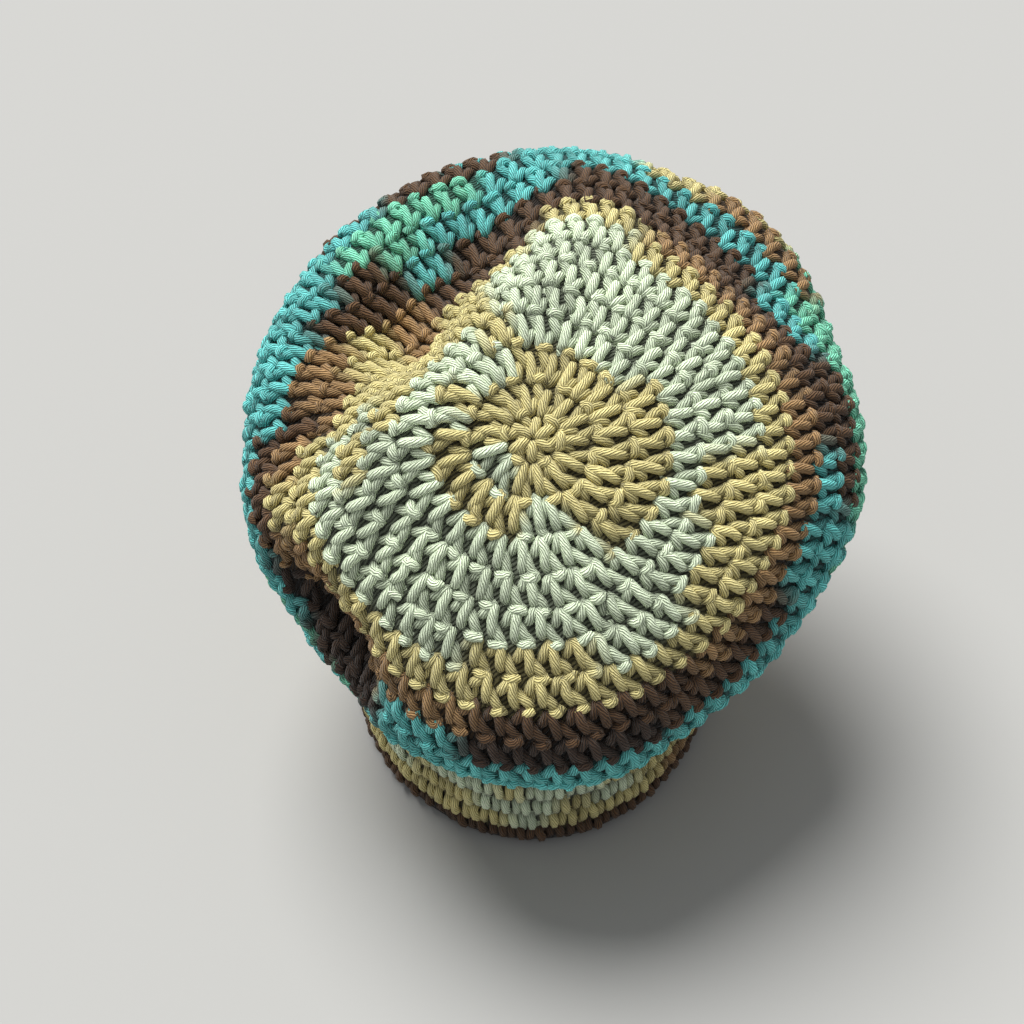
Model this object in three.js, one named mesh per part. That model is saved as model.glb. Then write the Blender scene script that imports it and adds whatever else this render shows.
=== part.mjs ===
// Slouchy crocheted cotton beanie: a full bag of a crown, worked in rounds from its centre, over a snug
// head band. Both are hollow walls as thick as the yarn fabric. Millimetres, +Z up, forehead toward -Y,
// nape toward +Y; the origin is the middle of the head opening, on the plane that the rim rests on.

import * as THREE from "three";
import { mergeVertices } from "three/addons/utils/BufferGeometryUtils.js";

// Fabric
const wall = 5.6;             // thickness of the crocheted fabric
const roundHeight = 12.6;     // one round of the crown's disc, measured along the fabric
const discRounds = 10;        // rounds from the centre of the crown to the edge of its disc

// Head band
const rimWidth = 163;         // outside, ear to ear
const rimLength = 200;        // outside, forehead to nape
const bandHeight = 52;
const edgeRound = 1.5;        // softened edges of the band
const seamGap = 0.3;          // between the band and the crown

// Bag of the crown
const bagWidth = 252;
const bagLength = 262;
const bagRise = 166;          // from the top of the band to the highest fabric
const bagShift = 3.5;         // the bag sits this far behind the middle of the band

// Fineness of the faceted walls
const columns = 72;           // around the hat
const rows = 32;              // from the centre of the crown to the band
const traceSteps = 220;       // steps that measure the fabric along one meridian
const easePasses = 3;         // rounds of easing that take the sharpness off the folds

// Sections of the bag, from the centre of the crown down to the band. left, right, front and back are
// reaches from the bag's middle, as shares of half its width or length. sideUp, frontUp and backUp are
// heights over the band, as shares of the bag's rise.
const sections = [
  { name: "centre", left: 0.0, right: 0.0, front: -0.33, back: 0.33,
    sideUp: 0.84, frontUp: 0.84, backUp: 0.84 },
  { name: "inner disc", left: 0.3, right: 0.3, front: -0.04, back: 0.56,
    sideUp: 0.83, frontUp: 0.92, backUp: 0.69 },
  { name: "outer disc", left: 0.6, right: 0.62, front: 0.29, back: 0.75,
    sideUp: 0.78, frontUp: 0.99, backUp: 0.55 },
  { name: "disc edge", left: 0.85, right: 0.91, front: 0.64, back: 0.9,
    sideUp: 0.7, frontUp: 1.0, backUp: 0.41 },
  { name: "widest", left: 0.93, right: 1.06, front: 0.9, back: 0.97,
    sideUp: 0.58, frontUp: 0.92, backUp: 0.28 },
  { name: "roll", left: 0.91, right: 1.03, front: 1.0, back: 0.94,
    sideUp: 0.43, frontUp: 0.72, backUp: 0.17 },
  { name: "underside", left: 0.79, right: 0.87, front: 0.97, back: 0.83,
    sideUp: 0.28, frontUp: 0.44, backUp: 0.14 },
  { name: "gather", left: 0.7, right: 0.73, front: 0.86, back: 0.76,
    sideUp: 0.13, frontUp: 0.2, backUp: 0.1 },
];

// Folds and hollows of the slack fabric. toLeft and toBack place the middle of a fold from the centre of
// the crown, halfLength and halfWidth are its size and rise is its height, all as shares of the disc's
// radius along the fabric. run is the direction of its length, in degrees from the left toward the back.
const folds = [
  { name: "slanting ridge", toLeft: 0.27, toBack: -0.19, run: 53,
    halfLength: 0.67, halfWidth: 0.14, rise: 0.08 },
  { name: "front valley", toLeft: 0.36, toBack: -0.66, run: 56,
    halfLength: 0.42, halfWidth: 0.21, rise: -0.26 },
  { name: "left valley", toLeft: 0.67, toBack: -0.2, run: 56,
    halfLength: 0.4, halfWidth: 0.19, rise: -0.11 },
  { name: "right valley", toLeft: -0.77, toBack: -0.73, run: 134,
    halfLength: 0.47, halfWidth: 0.18, rise: -0.11 },
  { name: "right bulge", toLeft: -1.08, toBack: -1.03, run: 134,
    halfLength: 0.55, halfWidth: 0.19, rise: 0.09 },
  { name: "nape pocket", toLeft: 0.76, toBack: 0.62, run: 130,
    halfLength: 0.23, halfWidth: 0.16, rise: -0.26 },
  { name: "nape crease", toLeft: -0.67, toBack: 0.69, run: 43,
    halfLength: 0.47, halfWidth: 0.14, rise: -0.08 },
  { name: "nape tuck", toLeft: -0.87, toBack: 0.89, run: 43,
    halfLength: 0.59, halfWidth: 0.24, rise: -0.07 },
];
const foldFadeEnd = 0.3;      // the folds die out over this last share of the way to the band

const discRadius = roundHeight * discRounds;
const seamHeight = bandHeight + seamGap;

// One section as reaches and heights in millimetres.
function sectionSize(row) {
  return {
    left: row.left * bagWidth / 2,
    right: row.right * bagWidth / 2,
    front: row.front * bagLength / 2 - bagShift,
    back: row.back * bagLength / 2 + bagShift,
    sideUp: seamHeight + row.sideUp * bagRise,
    frontUp: seamHeight + row.frontUp * bagRise,
    backUp: seamHeight + row.backUp * bagRise,
  };
}

// The section where the bag meets the band, and one straight below it that steers the curve into it.
function bandSection(height) {
  return {
    left: rimWidth / 2, right: rimWidth / 2, front: rimLength / 2, back: rimLength / 2,
    sideUp: height, frontUp: height, backUp: height,
  };
}

const stations = [...sections.map(sectionSize), bandSection(seamHeight), bandSection(seamHeight / 2)];
const lastStation = stations.length - 2;

function curveThrough(before, start, end, after, share) {
  const square = share * share;
  return 0.5 * (2 * start + (end - before) * share
    + (2 * before - 5 * start + 4 * end - after) * square
    + (3 * start - before - 3 * end + after) * square * share);
}

// A point of the smooth bag, before its folds. station runs from 0 at the centre to the band.
function smoothPoint(station, angle) {
  const index = Math.min(Math.floor(station), lastStation - 1);
  const share = station - index;
  const size = {};
  for (const key of Object.keys(stations[0])) {
    const before = stations[Math.max(index - 1, 0)][key];
    size[key] = curveThrough(before, stations[index][key], stations[index + 1][key],
      stations[index + 2][key], share);
  }
  const side = Math.cos(angle);
  const back = Math.sin(angle);
  const lift = (size.frontUp + size.backUp) / 2 - size.sideUp;
  return new THREE.Vector3(
    (size.left - size.right) / 2 + (size.left + size.right) / 2 * side,
    (size.back - size.front) / 2 + (size.back + size.front) / 2 * back,
    size.sideUp + (size.backUp - size.frontUp) / 2 * back + lift * back * back);
}

function smoothNormal(station, angle) {
  const step = 0.01;
  const from = Math.max(station, 2 * step);
  const down = smoothPoint(Math.min(from + step, lastStation), angle).sub(smoothPoint(from - step, angle));
  const around = smoothPoint(from, angle + step).sub(smoothPoint(from, angle - step));
  return down.cross(around).normalize();
}

// How far the folds lift the fabric at a place on the unfolded disc.
function foldLift(toLeft, toBack) {
  let lift = 0;
  for (const fold of folds) {
    const run = THREE.MathUtils.degToRad(fold.run);
    const left = toLeft / discRadius - fold.toLeft;
    const back = toBack / discRadius - fold.toBack;
    const along = (left * Math.cos(run) + back * Math.sin(run)) / fold.halfLength;
    const across = (back * Math.cos(run) - left * Math.sin(run)) / fold.halfWidth;
    lift += fold.rise * discRadius * Math.exp(-(along ** 4) - across ** 2);
  }
  return lift;
}

// One meridian of the folded fabric, as points evenly spaced along it from the centre to the band.
function meridian(angle) {
  const trace = [];
  let smoothWay = 0;
  let last = smoothPoint(0, angle);
  for (let step = 0; step <= traceSteps; step += 1) {
    const station = lastStation * step / traceSteps;
    const point = smoothPoint(station, angle);
    smoothWay += point.distanceTo(last);
    last = point.clone();
    const fade = Math.min((1 - step / traceSteps) / foldFadeEnd, 1);
    const lift = fade * foldLift(smoothWay * Math.cos(angle), smoothWay * Math.sin(angle));
    trace.push(point.addScaledVector(smoothNormal(station, angle), lift));
  }
  const way = [0];
  for (let step = 1; step <= traceSteps; step += 1) {
    way.push(way[step - 1] + trace[step].distanceTo(trace[step - 1]));
  }
  const points = [];
  let step = 1;
  for (let row = 0; row <= rows; row += 1) {
    const target = way[traceSteps] * row / rows;
    while (step < traceSteps && way[step] < target) {
      step += 1;
    }
    const share = (target - way[step - 1]) / (way[step] - way[step - 1]);
    points.push(trace[step - 1].clone().lerp(trace[step], share));
  }
  return points;
}

// Moves each point halfway to the middle of its four neighbours, as slack fabric eases its creases.
function easeFolds(lines) {
  return lines.map((line, column) => line.map((point, row) => {
    if (row === 0 || row >= rows - 1) {
      return point;
    }
    const next = lines[(column + 1) % columns];
    const previous = lines[(column + columns - 1) % columns];
    const middle = line[row - 1].clone().add(line[row + 1]).add(next[row]).add(previous[row]);
    return point.clone().lerp(middle.divideScalar(4), 0.5);
  }));
}

// The crown's outer face as a grid of rows and columns, and the fabric's normals on it.
function crownFace() {
  let lines = [];
  for (let column = 0; column < columns; column += 1) {
    lines.push(meridian(2 * Math.PI * column / columns));
  }
  for (let pass = 0; pass < easePasses; pass += 1) {
    lines = easeFolds(lines);
  }
  const normals = lines.map((line, column) => line.map((point, row) => {
    const next = lines[(column + 1) % columns];
    const previous = lines[(column + columns - 1) % columns];
    const down = line[Math.min(row + 1, rows)].clone().sub(line[Math.max(row - 1, 0)]);
    const around = next[row].clone().sub(previous[row]);
    return down.cross(around).normalize();
  }));
  return { lines, normals };
}

function meshFrom(name, positions, faces, material) {
  const geometry = new THREE.BufferGeometry();
  geometry.setAttribute("position", new THREE.Float32BufferAttribute(positions, 3));
  geometry.setIndex(faces);
  const merged = mergeVertices(geometry, 0.001);
  merged.computeVertexNormals();
  const mesh = new THREE.Mesh(merged, material);
  mesh.name = name;
  return mesh;
}

// Two faces for each cell between two closed loops of vertices, given by their first indices.
function joinLoops(faces, first, second) {
  for (let column = 0; column < columns; column += 1) {
    const next = (column + 1) % columns;
    faces.push(first + column, second + column, second + next);
    faces.push(first + column, second + next, first + next);
  }
}

// The crown: an outer face, an inner face one wall inside it, and a flat edge that meets the band.
function makeCrown(material) {
  const { lines, normals } = crownFace();
  const centre = lines[0][0];
  const centreNormal = new THREE.Vector3();
  normals.forEach((line) => centreNormal.add(line[1]));
  centreNormal.normalize();
  const inside = centre.clone().addScaledVector(centreNormal, -wall);
  const positions = [...centre.toArray(), ...inside.toArray()];
  const outerLoop = (row) => 2 + (row - 1) * columns;
  const innerLoop = (row) => 2 + (rows + row - 1) * columns;
  for (let row = 1; row <= rows; row += 1) {
    lines.forEach((line) => positions.push(...line[row].toArray()));
  }
  for (let row = 1; row <= rows; row += 1) {
    lines.forEach((line, column) => {
      const point = line[row].clone().addScaledVector(normals[column][row], -wall);
      point.z = row === rows ? seamHeight : Math.max(point.z, seamHeight + (rows - row));
      positions.push(...point.toArray());
    });
  }
  const faces = [];
  for (let column = 0; column < columns; column += 1) {
    const next = (column + 1) % columns;
    faces.push(0, outerLoop(1) + column, outerLoop(1) + next);
    faces.push(1, innerLoop(1) + next, innerLoop(1) + column);
  }
  for (let row = 1; row < rows; row += 1) {
    joinLoops(faces, outerLoop(row), outerLoop(row + 1));
    joinLoops(faces, innerLoop(row + 1), innerLoop(row));
  }
  joinLoops(faces, outerLoop(rows), innerLoop(rows));
  return meshFrom("crown", positions, faces, material);
}

// The band: an upright oval wall with softened edges and a flat underside.
function makeBand(material) {
  const outline = [
    { inset: 0, up: edgeRound }, { inset: 0, up: bandHeight - edgeRound },
    { inset: edgeRound, up: bandHeight }, { inset: wall - edgeRound, up: bandHeight },
    { inset: wall, up: bandHeight - edgeRound }, { inset: wall, up: edgeRound },
    { inset: wall - edgeRound, up: 0 }, { inset: edgeRound, up: 0 },
  ];
  const positions = [];
  for (const corner of outline) {
    for (let column = 0; column < columns; column += 1) {
      const angle = 2 * Math.PI * column / columns;
      positions.push((rimWidth / 2 - corner.inset) * Math.cos(angle),
        (rimLength / 2 - corner.inset) * Math.sin(angle), corner.up);
    }
  }
  const faces = [];
  for (let corner = 0; corner < outline.length; corner += 1) {
    joinLoops(faces, (corner + 1) % outline.length * columns, corner * columns);
  }
  return meshFrom("band", positions, faces, material);
}

const crownYarn = new THREE.MeshStandardMaterial({ color: 0xa9b692, roughness: 0.92, metalness: 0 });
const bandYarn = new THREE.MeshStandardMaterial({ color: 0xb3a273, roughness: 0.92, metalness: 0 });

const beanie = new THREE.Group();
beanie.add(makeCrown(crownYarn));
beanie.add(makeBand(bandYarn));

export default beanie;
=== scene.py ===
# Slouchy crocheted beanie of self-striping cotton: a full bag of a crown, worked in rounds from its centre
# and gathered into a snug head band. Metres, +Z up, forehead toward -Y, nape toward +Y.

import math
import bpy
import numpy as np
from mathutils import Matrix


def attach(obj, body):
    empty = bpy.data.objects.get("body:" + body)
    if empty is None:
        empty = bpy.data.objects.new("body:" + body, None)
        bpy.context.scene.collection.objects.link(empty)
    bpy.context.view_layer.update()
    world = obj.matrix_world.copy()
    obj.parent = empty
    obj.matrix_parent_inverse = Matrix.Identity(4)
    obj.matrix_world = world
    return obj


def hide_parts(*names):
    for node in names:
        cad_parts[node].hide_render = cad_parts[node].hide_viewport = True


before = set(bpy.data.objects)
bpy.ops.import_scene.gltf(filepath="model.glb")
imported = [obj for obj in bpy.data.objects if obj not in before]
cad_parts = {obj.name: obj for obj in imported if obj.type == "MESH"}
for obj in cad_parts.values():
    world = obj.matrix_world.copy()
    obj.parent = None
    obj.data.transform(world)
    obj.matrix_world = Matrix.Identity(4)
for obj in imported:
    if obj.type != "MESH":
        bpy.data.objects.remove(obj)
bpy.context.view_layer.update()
bpy.ops.object.select_all(action="DESELECT")


# Disc of the crown: the flat top of the bag, ten rounds of tall stitches in plied cotton, worked from the
# centre outward. The slack fabric falls in a slanting ridge, valleys beside it, and a pocket and creases
# at the nape.

round_height = 0.0126
disc_rounds = 10
rim_width, rim_length = 0.163, 0.200
band_height = 0.052
seam_height = band_height + 0.0003
bag_width, bag_length, bag_rise, bag_shift = 0.252, 0.262, 0.166, 0.0035
columns, rows, trace_steps, ease_passes = 72, 32, 220, 3
fold_fade_end = 0.3
disc_radius = round_height * disc_rounds

# Sections of the bag: left, right, front and back reaches, then heights at the sides, front and back.
bag_sections = [
    ("centre", 0.0, 0.0, -0.33, 0.33, 0.84, 0.84, 0.84),
    ("inner disc", 0.3, 0.3, -0.04, 0.56, 0.83, 0.92, 0.69),
    ("outer disc", 0.6, 0.62, 0.29, 0.75, 0.78, 0.99, 0.55),
    ("disc edge", 0.85, 0.91, 0.64, 0.9, 0.7, 1.0, 0.41),
    ("widest", 0.93, 1.06, 0.9, 0.97, 0.58, 0.92, 0.28),
    ("roll", 0.91, 1.03, 1.0, 0.94, 0.43, 0.72, 0.17),
    ("underside", 0.79, 0.87, 0.97, 0.83, 0.28, 0.44, 0.14),
    ("gather", 0.7, 0.73, 0.86, 0.76, 0.13, 0.2, 0.1),
]
# Folds: how far to the left and back of the centre, direction, half length, half width, rise.
bag_folds = [
    ("slanting ridge", 0.27, -0.19, 53, 0.67, 0.14, 0.08),
    ("front valley", 0.36, -0.66, 56, 0.42, 0.21, -0.26),
    ("left valley", 0.67, -0.2, 56, 0.4, 0.19, -0.11),
    ("right valley", -0.77, -0.73, 134, 0.47, 0.18, -0.11),
    ("right bulge", -1.08, -1.03, 134, 0.55, 0.19, 0.09),
    ("nape pocket", 0.76, 0.62, 130, 0.23, 0.16, -0.26),
    ("nape crease", -0.67, 0.69, 43, 0.47, 0.14, -0.08),
    ("nape tuck", -0.87, 0.89, 43, 0.59, 0.24, -0.07),
]

stations = [(left * bag_width / 2, right * bag_width / 2,
             front * bag_length / 2 - bag_shift, back * bag_length / 2 + bag_shift,
             seam_height + side_up * bag_rise, seam_height + front_up * bag_rise,
             seam_height + back_up * bag_rise)
            for name, left, right, front, back, side_up, front_up, back_up in bag_sections]
for height in (seam_height, seam_height / 2):
    stations.append((rim_width / 2, rim_width / 2, rim_length / 2, rim_length / 2, height, height, height))
stations = np.array(stations)
last_station = len(stations) - 2


def curve_through(before, start, end, after, share):
    return 0.5 * (2 * start + (end - before) * share
                  + (2 * before - 5 * start + 4 * end - after) * share ** 2
                  + (3 * start - before - 3 * end + after) * share ** 3)


def smooth_bag(station, angle):
    index = np.minimum(np.floor(station).astype(int), last_station - 1)
    share = (station - index)[..., None]
    size = curve_through(stations[np.maximum(index - 1, 0)], stations[index], stations[index + 1],
                         stations[index + 2], share)
    left, right, front, back, side_up, front_up, back_up = np.moveaxis(size, -1, 0)
    side, behind = np.cos(angle), np.sin(angle)
    lift = (front_up + back_up) / 2 - side_up
    return np.stack([(left - right) / 2 + (left + right) / 2 * side,
                     (back - front) / 2 + (back + front) / 2 * behind,
                     side_up + (back_up - front_up) / 2 * behind + lift * behind ** 2], -1)


def unit(vectors):
    return vectors / np.maximum(np.linalg.norm(vectors, axis=-1, keepdims=True), 1e-12)


def fold_lift(to_left, to_back):
    lift = 0
    for name, fold_left, fold_back, run, half_length, half_width, rise in bag_folds:
        turn = math.radians(run)
        left = to_left / disc_radius - fold_left
        back = to_back / disc_radius - fold_back
        along = (left * math.cos(turn) + back * math.sin(turn)) / half_length
        across = (back * math.cos(turn) - left * math.sin(turn)) / half_width
        lift = lift + rise * disc_radius * np.exp(-along ** 4 - across ** 2)
    return lift


# The folded bag, traced along every meridian, measured out evenly and eased.
angles = 2 * np.pi * np.arange(columns) / columns
step_station = np.linspace(0, last_station, trace_steps + 1)[:, None] + np.zeros((1, columns))
step_angle = np.zeros((trace_steps + 1, 1)) + angles
trace = smooth_bag(step_station, step_angle)
smooth_way = np.cumsum(np.linalg.norm(np.diff(trace, axis=0, prepend=trace[:1]), axis=-1), axis=0)
nudge = 0.01
near = np.maximum(step_station, 2 * nudge)
downward = (smooth_bag(np.minimum(near + nudge, last_station), step_angle)
            - smooth_bag(near - nudge, step_angle))
around = smooth_bag(near, step_angle + nudge) - smooth_bag(near, step_angle - nudge)
fade = np.minimum((1 - step_station / last_station) / fold_fade_end, 1)
lift = fade * fold_lift(smooth_way * np.cos(step_angle), smooth_way * np.sin(step_angle))
trace = trace + unit(np.cross(downward, around)) * lift[..., None]
bag = np.zeros((rows + 1, columns, 3))
for column in range(columns):
    line = trace[:, column]
    way = np.concatenate([[0], np.cumsum(np.linalg.norm(np.diff(line, axis=0), axis=-1))])
    even = np.linspace(0, way[-1], rows + 1)
    bag[:, column] = np.stack([np.interp(even, way, line[:, axis]) for axis in range(3)], -1)
for ease in range(ease_passes):
    middle = (bag[:-2] + bag[2:] + np.roll(bag, -1, 1)[1:-1] + np.roll(bag, 1, 1)[1:-1]) / 4
    bag[1:rows - 1] = 0.5 * bag[1:rows - 1] + 0.5 * middle[:rows - 2]

# Where each round ends on the fabric. The first three are a little tighter, the disc's are even, and the
# side rounds share what is left of each meridian down to the band.
side_rounds, band_rounds = 13, 5
rounds = disc_rounds + side_rounds + band_rounds
per_round = 2
tighter = (0.0032, 0.0026, 0.0012)
fabric = np.zeros((rounds * per_round + 1, columns, 3))
for column in range(columns):
    line = bag[:, column]
    way = np.concatenate([[0], np.cumsum(np.linalg.norm(np.diff(line, axis=0), axis=-1))])
    disc_ends = round_height * np.arange(disc_rounds + 1)
    disc_ends[1:4] -= tighter
    side_share = np.minimum(np.arange(side_rounds) / 2, 1)
    slack = (way[-1] - disc_radius - side_rounds * round_height) / side_share.sum()
    side_ends = disc_radius + np.cumsum(round_height + slack * side_share)
    ends = np.concatenate([disc_ends, side_ends])
    wanted = np.interp(np.arange((disc_rounds + side_rounds) * per_round + 1) / per_round,
                       np.arange(len(ends)), ends)
    row = np.interp(wanted, way, np.arange(rows + 1))
    first = np.clip(np.floor(row).astype(int), 0, rows - 1)
    fabric[:len(row), column] = curve_through(
        line[np.maximum(first - 1, 0)], line[first], line[first + 1], line[np.minimum(first + 2, rows)],
        (row - first)[:, None])
band_shares = np.arange(1, band_rounds * per_round + 1) / (band_rounds * per_round)
fabric[-len(band_shares):, :, 0] = rim_width / 2 * np.cos(angles)
fabric[-len(band_shares):, :, 1] = rim_length / 2 * np.sin(angles)
fabric[-len(band_shares):, :, 2] = (seam_height * (1 - band_shares))[:, None]

# The fabric goes on past the centre to its other side, and its outward normals with it.
mirrored = np.roll(fabric[1:3], columns // 2, 1)[::-1]
fabric = np.concatenate([mirrored, fabric, fabric[-1:], fabric[-1:]])
normals = unit(np.cross(np.gradient(fabric, axis=0), np.roll(fabric, -1, 1) - np.roll(fabric, 1, 1)))
normals[:2] = np.roll(normals[3:5], columns // 2, 1)[::-1]
normals[2] = unit(normals[3].mean(0))
normals[-2:] = normals[-3]


def on_fabric(grid, round_at, angle):
    """Values of a grid over the fabric at places given by round and angle, smoothly between its points."""
    angle = np.where(round_at < 0, angle + np.pi, angle)
    row = np.abs(round_at) * per_round
    row = np.minimum(row, rounds * per_round - 1e-6)
    column = (angle / (2 * np.pi) * columns) % columns
    row_index = np.floor(row).astype(int)
    column_index = np.floor(column).astype(int)
    row_share = (row - row_index)[..., None]
    column_share = (column - column_index)[..., None]
    lines = []
    for step in (-1, 0, 1, 2):
        picked = [grid[row_index + 2 + step, (column_index + turn) % columns] for turn in (-1, 0, 1, 2)]
        lines.append(curve_through(*picked, column_share))
    return curve_through(*lines, row_share)


# Dye of the yarn, in the order it was worked: the place where each colour starts, in rounds and shares of
# a round from the wearer's left toward the nape.
dyes = {
    "sand": (0.67, 0.59, 0.26), "mint": (0.72, 0.83, 0.60),
    "light brown": (0.34, 0.205, 0.088), "brown": (0.100, 0.052, 0.023),
    "brown in painted shade": (0.045, 0.026, 0.016), "teal": (0.13, 0.55, 0.53), "turquoise": (0.21, 0.68, 0.46),
}
# The darkest brown is brown yarn in painted shade: under the disc's edge where it rolls over at the nape,
# and in the pocket beside it.
dye_chart = [
    (0.00, "sand"), (1.03, "mint"), (1.17, "sand"), (2.22, "mint"), (2.31, "sand"), (2.78, "mint"),
    (2.90, "sand"), (2.95, "mint"), (3.33, "sand"), (3.57, "mint"), (3.77, "sand"), (3.82, "mint"),
    (4.79, "sand"), (5.04, "mint"), (5.41, "sand"), (5.47, "mint"), (5.79, "sand"), (5.96, "mint"),
    (6.19, "sand"), (6.28, "mint"), (6.35, "sand"), (6.48, "mint"), (6.79, "sand"), (7.67, "mint"),
    (7.75, "sand"), (7.84, "light brown"), (7.88, "sand"), (7.93, "light brown"), (8.02, "sand"),
    (8.05, "light brown"), (8.20, "brown"), (8.33, "light brown"), (8.66, "sand"), (8.74, "brown"),
    (8.84, "light brown"), (8.88, "sand"), (8.91, "light brown"), (8.97, "brown"), (9.05, "light brown"),
    (9.14, "teal"), (9.19, "brown in painted shade"), (9.30, "brown"), (9.40, "teal"), (9.48, "brown"),
    (9.81, "teal"), (9.84, "brown"), (9.92, "teal"), (10.05, "brown in painted shade"), (10.145, "teal"),
    (10.45, "brown"), (10.54, "teal"), (10.59, "brown"), (10.73, "teal"), (10.82, "turquoise"),
    (10.85, "brown"), (10.89, "teal"), (11.02, "teal"), (11.075, "brown in painted shade"), (11.135, "teal"),
    (11.45, "turquoise"), (11.58, "teal"), (11.78, "turquoise"), (11.88, "teal"), (12.02, "turquoise"),
    (12.085, "brown in painted shade"), (12.11, "turquoise"), (12.22, "teal"), (12.35, "turquoise"),
    (12.57, "light brown"), (12.65, "sand"), (12.69, "teal"), (12.76, "brown"), (12.84, "teal"),
    (13.45, "turquoise"), (13.60, "sand"), (13.74, "teal"), (13.80, "brown"), (13.90, "teal"),
    (14.15, "brown"), (15.60, "light brown"), (18.20, "sand"), (20.30, "mint"), (20.48, "sand"),
    (23.16, "mint"), (23.20, "sand"), (23.27, "mint"), (23.30, "sand"), (23.60, "mint"), (23.66, "sand"),
    (24.15, "mint"), (24.21, "sand"), (24.23, "mint"), (24.30, "sand"), (24.38, "mint"), (24.42, "sand"),
    (24.70, "mint"), (24.85, "sand"), (25.10, "mint"), (25.13, "sand"), (25.19, "mint"), (25.26, "sand"),
    (25.29, "mint"), (25.33, "sand"), (25.60, "mint"), (25.80, "sand"), (26.22, "mint"), (26.25, "sand"),
    (26.36, "light brown"), (26.40, "sand"), (26.75, "light brown"), (26.80, "sand"), (27.00, "brown"),
]
dye_places = np.array([place for place, name in dye_chart])
dye_colours = np.array([dyes[name] for place, name in dye_chart])
blend_length = 0.02


def dyed(place):
    index = np.clip(np.searchsorted(dye_places, place, side="right") - 1, 0, len(dye_places) - 1)
    before = np.maximum(index - 1, 0)
    share = np.clip((place - dye_places[index]) / blend_length, 0, 1)[..., None]
    share = share * share * (3 - 2 * share)
    return dye_colours[before] * (1 - share) + dye_colours[index] * share


# One tall stitch as the way of its yarn: share of a stitch around, share of a round outward, and depth.
# The long leg lies on top. From its inner end the yarn turns down beside it, goes under, comes up as the
# lower second leg, and curls over as the top loop into the next long leg.
yarn = 0.0041
depth = 0.0028                # of one unit in the last column
stitch_way = np.array([
    (0.08, 0.92, -1.10), (0.07, 0.80, -0.18), (0.03, 0.47, 0.16), (0.00, 0.18, 0.00),
    (-0.06, 0.03, -0.50), (-0.24, 0.19, -0.16), (-0.41, 0.40, -0.40), (-0.56, 0.50, -1.30),
    (-0.89, 0.38, -1.15), (-0.77, 0.56, -0.32), (-0.58, 0.82, -0.26), (-0.44, 0.99, -0.45),
    (-0.36, 1.07, -0.08), (-0.52, 1.10, 0.10), (-0.68, 1.12, -0.10), (-0.84, 1.02, -1.10),
])
# The wrong side of a stitch, which shows inside the hat: two short legs and the bar between them.
wrong_way = np.array([
    (0.30, 0.90, -1.10), (0.20, 0.45, -1.30), (-0.05, 0.03, -1.05), (-0.28, 0.30, -1.25),
    (-0.42, 0.70, -1.30), (-0.55, 0.98, -1.05),
])
sides, steps = 6, 2           # of a yarn tube: around it, and between two points of its way
added_stitches, most_stitches, fewer_stitches = 8, 76, 2
last_full_round, drawn_rounds = 14, 8
round_stagger = 0.37          # each round starts this share of a stitch further on
stitch_lean, point_stray = (0.05, 0.035, 0.12), (0.03, 0.025, 0.07)
# Painted shade by depth in the fabric: the yarn's colour is scaled by the first of these at the top of the
# fabric, a little over one as a slight painted highlight, changing by the second per unit of depth and kept
# between the third and fourth; the last is each stitch's random stray in tone.
painted_shade_at_top, painted_shade_by_depth, painted_shade_least, painted_shade_most, dye_stray = 1.07, 0.75, 0.15, 1.18, 0.07
inner_depth = -1.2            # where the inside strands lie; their painted shade is measured from there, lighter toward the head
floor_gap = 0.0004
ring_share = 0.22             # the first round is worked into a small ring, left open this share of it
edge_round = 0.68             # the last round of the band is only this share of a round high
unevenness = np.random.default_rng(25)


def stitches_in(number):
    """Stitches in a round: eight more each round over the disc, then two fewer each round to the band."""
    if number < disc_rounds:
        return added_stitches * number - (fewer_stitches if number < 3 else 0)
    return most_stitches - fewer_stitches * min(max(number - last_full_round, 0), drawn_rounds)


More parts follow.
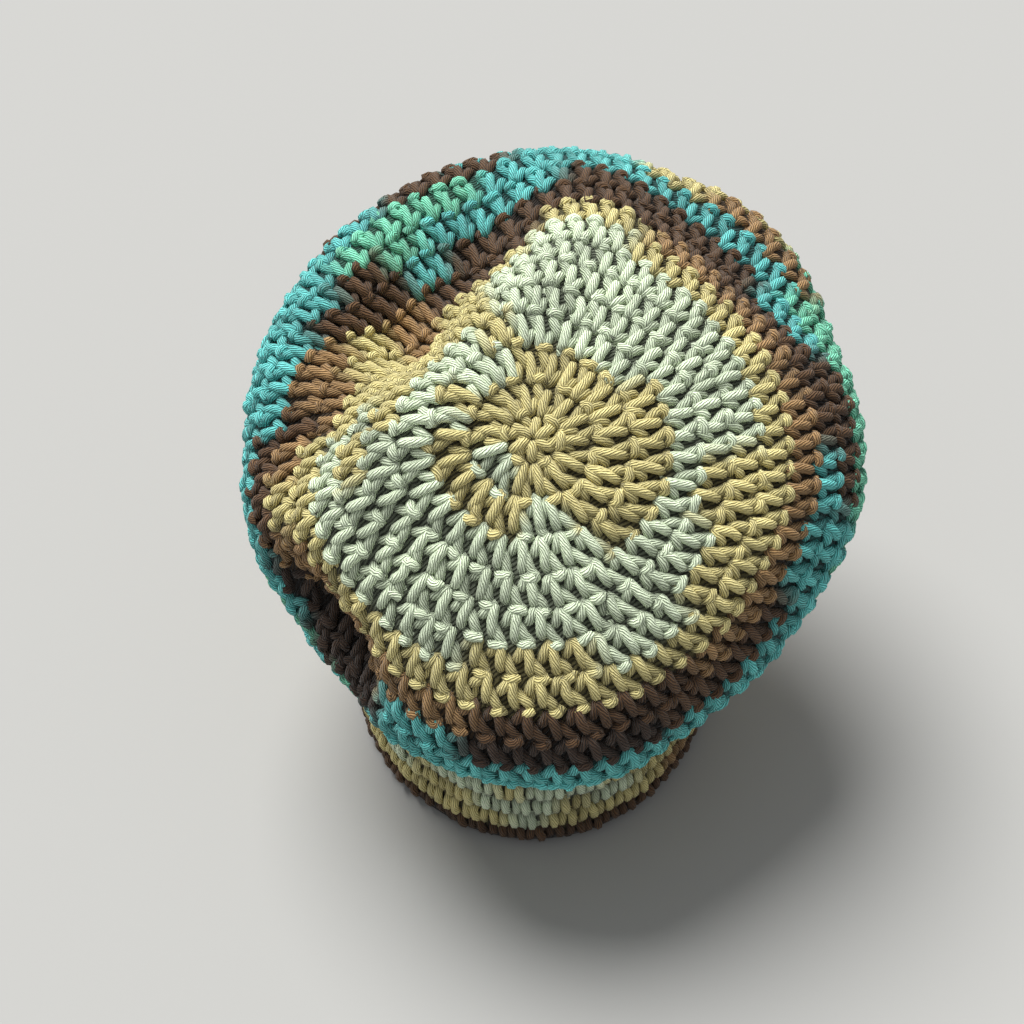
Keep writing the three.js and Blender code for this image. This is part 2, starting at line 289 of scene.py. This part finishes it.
def worked_rounds(name, first, last, way, thickness):
    """One piece of yarn tubes, a closed ring of stitches for each round from first to last."""
    points, faces, uvs, dye_and_shade = [], [], [], []
    for number in range(first, last + 1):
        count = stitches_in(number)
        stitch = np.arange(count)[::-1].repeat(len(way))
        control = np.tile(way, (count, 1))
        lean = unevenness.normal(0, 1, (count, 3)).repeat(len(way), 0) * stitch_lean
        control = control + lean + unevenness.normal(0, 1, control.shape) * point_stray
        control[:, 0] = (control[:, 0] + stitch + round_stagger * number) / count * 2 * np.pi
        if number == 1:
            control[:, 1] = ring_share + (1 - ring_share) * control[:, 1]
        if number == rounds:
            control[:, 1] *= edge_round
        control[:, 1] += number - 1
        turn = np.array([(2 * np.pi, 0, 0)])
        ring = np.concatenate([control[-1:] + turn, control, control[:2] - turn])
        share = (np.arange(steps) / steps)[None, :, None]
        path = curve_through(ring[:-3, None], ring[1:-2, None], ring[2:-1, None], ring[3:, None], share)
        path = path.reshape(-1, 3)
        worked = number - 1 + (path[:, 0] / (2 * np.pi)) % 1
        outward = unit(on_fabric(normals, path[:, 1], path[:, 0]))
        centre = on_fabric(fabric, path[:, 1], path[:, 0]) + outward * (path[:, 2:] * depth - thickness / 2)
        tangent = unit(np.roll(centre, -1, 0) - np.roll(centre, 1, 0))
        across = unit(np.cross(tangent, outward))
        over = np.cross(across, tangent)
        phase = (2 * np.pi * np.arange(sides) / sides)[None, :, None]
        circle = np.cos(phase) * across[:, None] + np.sin(phase) * over[:, None]
        ring_points = centre[:, None] + circle * thickness / 2
        ring_points[..., 2] = np.maximum(ring_points[..., 2], floor_gap)
        start = sum(len(part) for part in points)
        points.append(ring_points.reshape(-1, 3))
        # Painted shade: the colour darkens the deeper the yarn lies in the fabric; the inside strands
        # darken the further they lie from the head side.
        raised = inner_depth - path[:, 2:] if way is wrong_way else path[:, 2:]
        shaded = np.clip(painted_shade_at_top + painted_shade_by_depth * raised, painted_shade_least, painted_shade_most)
        stray = unevenness.normal(0, dye_stray, (count, 1))
        shaded = shaded * (1 + stray.repeat(steps * len(way), 0))
        dye_and_shade.append((dyed(worked) * shaded).repeat(sides, 0))
        length = np.linalg.norm(np.roll(centre, -1, 0) - centre, axis=-1)
        run = np.concatenate([[0], np.cumsum(length)]) / (math.pi * thickness)
        here = np.arange(len(centre))[:, None]
        there = (here + 1) % len(centre)
        side = np.arange(sides)[None, :]
        following = (side + 1) % sides
        quads = np.stack([here * sides + side, there * sides + side, there * sides + following,
                          here * sides + following], -1) + start
        faces.append(quads.reshape(-1, 4))
        low, high = run[:-1][:, None] + 0 * side, run[1:][:, None] + 0 * side
        left, right = side / sides + 0 * here, (side + 1) / sides + 0 * here
        uvs.append(np.stack([np.stack(pair, -1) for pair in
                             ((low, left), (high, left), (high, right), (low, right))], 2).reshape(-1, 2))
    return yarn_piece(name, np.concatenate(points), np.concatenate(faces), np.concatenate(uvs),
                      np.concatenate(dye_and_shade))


def yarn_piece(name, points, faces, uvs, dye_and_shade):
    mesh = bpy.data.meshes.new(name)
    mesh.vertices.add(len(points))
    mesh.vertices.foreach_set("co", points.astype(np.float32).ravel())
    mesh.loops.add(faces.size)
    mesh.loops.foreach_set("vertex_index", faces.astype(np.int32).ravel())
    mesh.polygons.add(len(faces))
    mesh.polygons.foreach_set("loop_start", np.arange(0, faces.size, faces.shape[1], dtype=np.int32))
    mesh.polygons.foreach_set("use_smooth", np.ones(len(faces), dtype=bool))
    layer = mesh.uv_layers.new(name="strand")
    layer.data.foreach_set("uv", uvs.astype(np.float32).ravel())
    # The dye attribute holds the yarn's dye with its painted shade multiplied in.
    colour = mesh.color_attributes.new("dye_and_shade", "FLOAT_COLOR", "POINT")
    colour.data.foreach_set("color", np.column_stack([dye_and_shade, np.ones(len(dye_and_shade))]).astype(np.float32).ravel())
    mesh.update()
    mesh.validate()
    piece = bpy.data.objects.new(name, mesh)
    bpy.context.scene.collection.objects.link(piece)
    return piece


def maths(tree, operation, *values):
    node = tree.nodes.new("ShaderNodeMath")
    node.operation = operation
    for slot, value in enumerate(values):
        if isinstance(value, (int, float)):
            node.inputs[slot].default_value = value
        else:
            tree.links.new(value, node.inputs[slot])
    return node.outputs[0]


def plied_cotton():
    """Cotton yarn: matt, softly furred, of many fine strands laid together in a slow twist, its colour
    darkened and deepened in the grooves between the strands as painted shade.
    """
    tree = bpy.data.node_groups.new("plied cotton", "ShaderNodeTree")
    sockets = [("Strands", "NodeSocketFloat", "INPUT"), ("Twist", "NodeSocketFloat", "INPUT"),
               ("Dye and shade", "NodeSocketColor", "INPUT"), ("Colour", "NodeSocketColor", "OUTPUT"),
               ("Height", "NodeSocketFloat", "OUTPUT")]
    for socket, kind, way_in in sockets:
        tree.interface.new_socket(name=socket, in_out=way_in, socket_type=kind)
    given = tree.nodes.new("NodeGroupInput")
    result = tree.nodes.new("NodeGroupOutput")
    strand_map = tree.nodes.new("ShaderNodeUVMap")
    strand_map.uv_map = "strand"
    parts = tree.nodes.new("ShaderNodeSeparateXYZ")
    tree.links.new(strand_map.outputs[0], parts.inputs[0])
    along, round_yarn = parts.outputs[0], parts.outputs[1]
    lay = maths(tree, "ADD", maths(tree, "MULTIPLY", round_yarn, given.outputs["Strands"]),
                maths(tree, "MULTIPLY", along, given.outputs["Twist"]))
    wander = tree.nodes.new("ShaderNodeTexNoise")
    wander.inputs["Scale"].default_value = 420.0
    solid = tree.nodes.new("ShaderNodeTexCoord")
    tree.links.new(solid.outputs["Object"], wander.inputs["Vector"])
    lay = maths(tree, "ADD", lay, maths(tree, "MULTIPLY", wander.outputs["Fac"], 1.1))
    ridge = maths(tree, "ABSOLUTE", maths(tree, "SINE", maths(tree, "MULTIPLY", lay, math.pi)))
    ridge = maths(tree, "POWER", ridge, 0.7)
    place = tree.nodes.new("ShaderNodeCombineXYZ")
    tree.links.new(lay, place.inputs[0])
    tree.links.new(maths(tree, "MULTIPLY", along, 0.9), place.inputs[1])
    fibre = tree.nodes.new("ShaderNodeTexNoise")
    fibre.inputs["Scale"].default_value = 4.5
    fibre.inputs["Detail"].default_value = 3.0
    tree.links.new(place.outputs[0], fibre.inputs["Vector"])
    blotch = tree.nodes.new("ShaderNodeTexNoise")
    blotch.inputs["Scale"].default_value = 55.0
    tree.links.new(solid.outputs["Object"], blotch.inputs["Vector"])
    height = maths(tree, "ADD", ridge, maths(tree, "MULTIPLY", fibre.outputs["Fac"], 0.5))
    tree.links.new(height, result.inputs["Height"])
    # Painted shade in the grooves between the strands, with the fibres' and blotches' random tone.
    groove_shade_and_tone = maths(tree, "ADD", maths(tree, "MULTIPLY", ridge, 0.55),
                  maths(tree, "ADD", maths(tree, "MULTIPLY", fibre.outputs["Fac"], 1.1),
                        maths(tree, "MULTIPLY", blotch.outputs["Fac"], 0.3)))
    groove_shade_and_tone = maths(tree, "SUBTRACT", groove_shade_and_tone, 0.06)
    # More painted shade in the grooves: there the dye turns darker and deeper in hue.
    painted_groove_shade = tree.nodes.new("ShaderNodeGamma")
    tree.links.new(given.outputs["Dye and shade"], painted_groove_shade.inputs["Color"])
    groove_shade_gamma = maths(tree, "SUBTRACT", 1.5, maths(tree, "MULTIPLY", ridge, 0.6))
    tree.links.new(groove_shade_gamma, painted_groove_shade.inputs["Gamma"])
    tint = tree.nodes.new("ShaderNodeVectorMath")
    tint.operation = "SCALE"
    tree.links.new(painted_groove_shade.outputs[0], tint.inputs[0])
    tree.links.new(groove_shade_and_tone, tint.inputs["Scale"])
    tree.links.new(tint.outputs[0], result.inputs["Colour"])
    return tree


plied = plied_cotton()
strands, twist = 12, -6.5     # around the yarn, and how many it turns by in a length of its girth


def yarn_material(name, roughness, sheen, relief):
    material = bpy.data.materials.new(name)
    material.use_nodes = True
    tree = material.node_tree
    shader = tree.nodes["Principled BSDF"]
    # Per point, the yarn's dye with its painted shade already in it.
    dye_and_shade = tree.nodes.new("ShaderNodeAttribute")
    dye_and_shade.attribute_name = "dye_and_shade"
    group = tree.nodes.new("ShaderNodeGroup")
    group.node_tree = plied
    group.inputs["Strands"].default_value = strands
    group.inputs["Twist"].default_value = twist
    tree.links.new(dye_and_shade.outputs["Color"], group.inputs["Dye and shade"])
    tree.links.new(group.outputs["Colour"], shader.inputs["Base Color"])
    bump = tree.nodes.new("ShaderNodeBump")
    bump.inputs["Strength"].default_value = 1.0
    bump.inputs["Distance"].default_value = relief
    tree.links.new(group.outputs["Height"], bump.inputs["Height"])
    tree.links.new(bump.outputs[0], shader.inputs["Normal"])
    shader.inputs["Roughness"].default_value = roughness
    shader.inputs["Specular IOR Level"].default_value = 0.2
    shader.inputs["Sheen Weight"].default_value = sheen
    shader.inputs["Sheen Roughness"].default_value = 0.5
    return material


cotton = yarn_material("crocheted cotton", 0.88, 0.15, 0.0007)


def finish_yarn(piece, node):
    piece.data.materials.append(cotton)
    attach(piece, "root")
    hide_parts(node)


finish_yarn(worked_rounds("crown_disc", 1, disc_rounds, stitch_way, yarn), "crown")


# Side of the crown: thirteen more rounds of the same cotton stitches, from the edge of the disc over the
# full roll of the bag and back under it to the band, where fewer stitches each round draw it in.

crown_rounds = disc_rounds + side_rounds
roll_end = disc_rounds + 6
finish_yarn(worked_rounds("crown_roll", disc_rounds + 1, roll_end, stitch_way, yarn), "crown")
finish_yarn(worked_rounds("crown_gather", roll_end + 1, crown_rounds, stitch_way, yarn),
            "crown")


# Head band: five closer rounds of upright stitches in the same cotton, worked straight on from the crown.
# The last is a short round of brown that finishes the edge.

band_yarn = 0.0040
band_way = np.array([
    (0.10, 0.92, -1.00), (0.08, 0.78, -0.10), (0.04, 0.47, 0.10), (0.00, 0.20, -0.10),
    (-0.03, 0.05, -1.00), (-0.22, -0.03, -1.30), (-0.42, 0.08, -1.05), (-0.45, 0.27, -0.35),
    (-0.45, 0.52, -0.12), (-0.44, 0.77, -0.35), (-0.48, 0.95, -0.80), (-0.63, 1.02, -0.70),
    (-0.78, 0.97, -1.00),
])
finish_yarn(worked_rounds("band_rounds", crown_rounds + 1, rounds, band_way, band_yarn),
            "band")


# Inside of the fabric: the wrong side of the same cotton stitches, which faces the head, and a dark sheet
# in the thickness of the fabric that closes the gaps between the strands; its darkness is painted shade.

finish_yarn(worked_rounds("disc_inside", 1, disc_rounds, wrong_way, yarn), "crown")
finish_yarn(worked_rounds("side_inside", disc_rounds + 1, crown_rounds, wrong_way, yarn),
            "crown")
finish_yarn(worked_rounds("band_inside", crown_rounds + 1, rounds, wrong_way, band_yarn),
            "band")

# The sheet's colour is its round's dye darkened to the last of these shares: painted shade in the gaps
# between the strands.
core_depth, core_wall, core_columns, core_painted_shade = 0.0032, 0.0008, 144, 0.12
centre_hole, edge_gap = 0.02, 0.1     # in rounds: what the sheet leaves open at the centre and the edge
core_weave = 60


def fabric_core(name, first, last):
    """A thin closed sheet through the middle of the fabric between two rounds."""
    levels = np.arange(first * per_round, last * per_round + 1) / per_round
    levels = np.clip(levels, centre_hole, rounds - edge_gap)
    turns = 2 * np.pi * np.arange(core_columns) / core_columns
    round_at, angle = np.meshgrid(levels, turns, indexing="ij")
    outward = unit(on_fabric(normals, round_at, angle))
    place = on_fabric(fabric, round_at, angle)
    outer = (place - outward * core_depth).reshape(-1, 3)
    inner = (place - outward * (core_depth + core_wall)).reshape(-1, 3)
    count, total = core_columns, len(outer)
    level = np.arange(len(levels) - 1)[:, None] * count
    column = np.arange(count)[None, :]
    following = (column + 1) % count
    wall_faces = np.stack([level + column, level + count + column, level + count + following,
                           level + following], -1).reshape(-1, 4)
    end = (len(levels) - 1) * count
    edges = [np.stack([column[0], following[0], total + following[0], total + column[0]], -1),
             np.stack([end + column[0], total + end + column[0], total + end + following[0],
                       end + following[0]], -1)]
    faces = np.concatenate([wall_faces, wall_faces[:, ::-1] + total, *edges])
    worked = np.clip(round_at - 0.5, 0, rounds) // 1 + (angle / (2 * np.pi)) % 1
    # Painted shade: the sheet takes its round's dye, darkened.
    dye_and_shade = np.tile(dyed(worked).reshape(-1, 3), (2, 1)) * core_painted_shade
    uvs = np.concatenate([outer, inner])[faces.ravel()][:, :2] * core_weave
    return yarn_piece(name, np.concatenate([outer, inner]), faces, uvs, dye_and_shade)


finish_yarn(fabric_core("crown_core", 0, crown_rounds), "crown")
finish_yarn(fabric_core("band_core", crown_rounds, rounds), "band")


# Floor, light and camera: a plain pale floor, one soft studio light from over the forehead and an even
# room light, and the camera behind and above the nape.

bpy.ops.mesh.primitive_plane_add(size=60, location=(0, 0, 0))
floor = bpy.context.object
floor.name = "floor"
pale = bpy.data.materials.new("pale floor")
pale.use_nodes = True
pale.node_tree.nodes["Principled BSDF"].inputs["Base Color"].default_value = (0.40, 0.40, 0.39, 1)
pale.node_tree.nodes["Principled BSDF"].inputs["Roughness"].default_value = 0.9
floor.data.materials.append(pale)

window = bpy.data.lights.new("window", "SUN")
window.energy = 4.6
window.angle = math.radians(36)
window.color = (1.0, 0.99, 0.97)
across, behind, up = 0.42, -0.62, 1.35
holder = bpy.data.objects.new("window", window)
bpy.context.scene.collection.objects.link(holder)
holder.rotation_euler = (math.atan2(math.hypot(across, behind), up), 0,
                         math.atan2(behind, across) + math.pi / 2)

world = bpy.context.scene.world or bpy.data.worlds.new("room")
bpy.context.scene.world = world
world.use_nodes = True
world.node_tree.nodes["Background"].inputs["Color"].default_value = (0.97, 0.98, 1.0, 1)
world.node_tree.nodes["Background"].inputs["Strength"].default_value = 0.38

camera = bpy.data.objects.new("camera", bpy.data.cameras.new("camera"))
bpy.context.scene.collection.objects.link(camera)
downward_look = 48
camera.location = (0, 0.5019, 0.6474)
camera.rotation_euler = (math.radians(90 - downward_look), 0, math.pi)
camera.data.lens = 62.2
camera.data.sensor_width = 36
camera.data.shift_x = -0.0205
camera.data.shift_y = 0.0166
bpy.context.scene.camera = camera
bpy.context.scene.view_settings.view_transform = "Standard"
